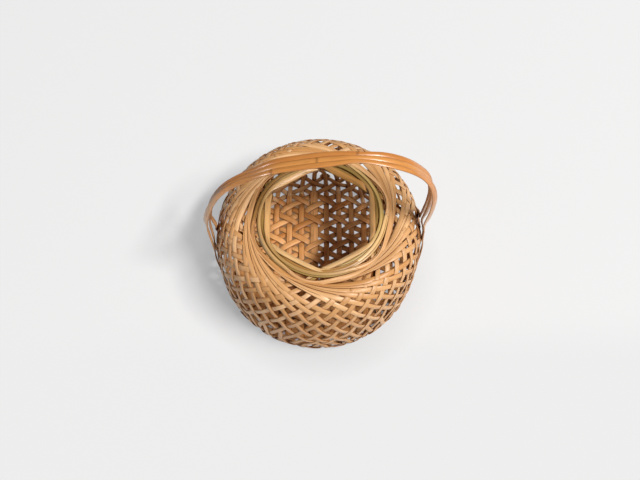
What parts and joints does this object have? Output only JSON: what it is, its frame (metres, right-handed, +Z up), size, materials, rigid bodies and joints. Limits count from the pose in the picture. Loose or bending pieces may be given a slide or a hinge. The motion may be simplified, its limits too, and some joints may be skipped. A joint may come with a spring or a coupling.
{
  "type": "handled flower basket",
  "caption": "Round openwork basket of woven split bamboo with a six-sided mouth, a swirled rim of bundled strips and a tall arched handle of flat strips.",
  "frame": {"origin": "middle of the underside of the floor, on the surface the basket stands on, below the centre of the handle span", "axes": "+Z up, +X to the right along the handle as seen from the front, +Y to the back"},
  "size_m": [0.2183, 0.2046, 0.2271],
  "materials": {
    "floor_strips": "smooth split bamboo, satin, golden brown",
    "wall_inner": "smooth split bamboo, satin, warm tan",
    "wall_outer": "smooth split bamboo, satin, warm tan",
    "rim": "split bamboo with patches of olive skin, satin, straw to tan",
    "handle": "polished split bamboo, glossy, orange brown"
  },
  "bodies": {
    "root": {"floor_strip_a01": "floor_strips", "floor_strip_a02": "floor_strips", "floor_strip_a03": "floor_strips", "floor_strip_a04": "floor_strips", "floor_strip_a05": "floor_strips", "floor_strip_a06": "floor_strips", "floor_strip_a07": "floor_strips", "floor_strip_a08": "floor_strips", "floor_strip_a09": "floor_strips", "floor_strip_a10": "floor_strips", "floor_strip_a11": "floor_strips", "floor_strip_a12": "floor_strips", "floor_strip_b01": "floor_strips", "floor_strip_b02": "floor_strips", "floor_strip_b03": "floor_strips", "floor_strip_b04": "floor_strips", "floor_strip_b05": "floor_strips", "floor_strip_b06": "floor_strips", "floor_strip_b07": "floor_strips", "floor_strip_b08": "floor_strips", "floor_strip_b09": "floor_strips", "floor_strip_b10": "floor_strips", "floor_strip_b11": "floor_strips", "floor_strip_b12": "floor_strips", "floor_strip_c01": "floor_strips", "floor_strip_c02": "floor_strips", "floor_strip_c03": "floor_strips", "floor_strip_c04": "floor_strips", "floor_strip_c05": "floor_strips", "floor_strip_c06": "floor_strips", "floor_strip_c07": "floor_strips", "floor_strip_c08": "floor_strips", "floor_strip_c09": "floor_strips", "floor_strip_c10": "floor_strips", "floor_strip_c11": "floor_strips", "floor_strip_c12": "floor_strips", "wall_inner_strips_1": "wall_inner", "wall_outer_fan_1": "wall_outer", "rim_bundle_1": "rim", "wall_inner_strips_2": "wall_inner", "wall_outer_fan_2": "wall_outer", "rim_bundle_2": "rim", "wall_inner_strips_3": "wall_inner", "wall_outer_fan_3": "wall_outer", "rim_bundle_3": "rim", "wall_inner_strips_4": "wall_inner", "wall_outer_fan_4": "wall_outer", "rim_bundle_4": "rim", "wall_inner_strips_5": "wall_inner", "wall_outer_fan_5": "wall_outer", "rim_bundle_5": "rim", "wall_inner_strips_6": "wall_inner", "wall_outer_fan_6": "wall_outer", "rim_bundle_6": "rim", "handle_strip_front": "handle", "handle_strip_middle": "handle", "handle_strip_rear": "handle"}
  },
  "joints": []
}
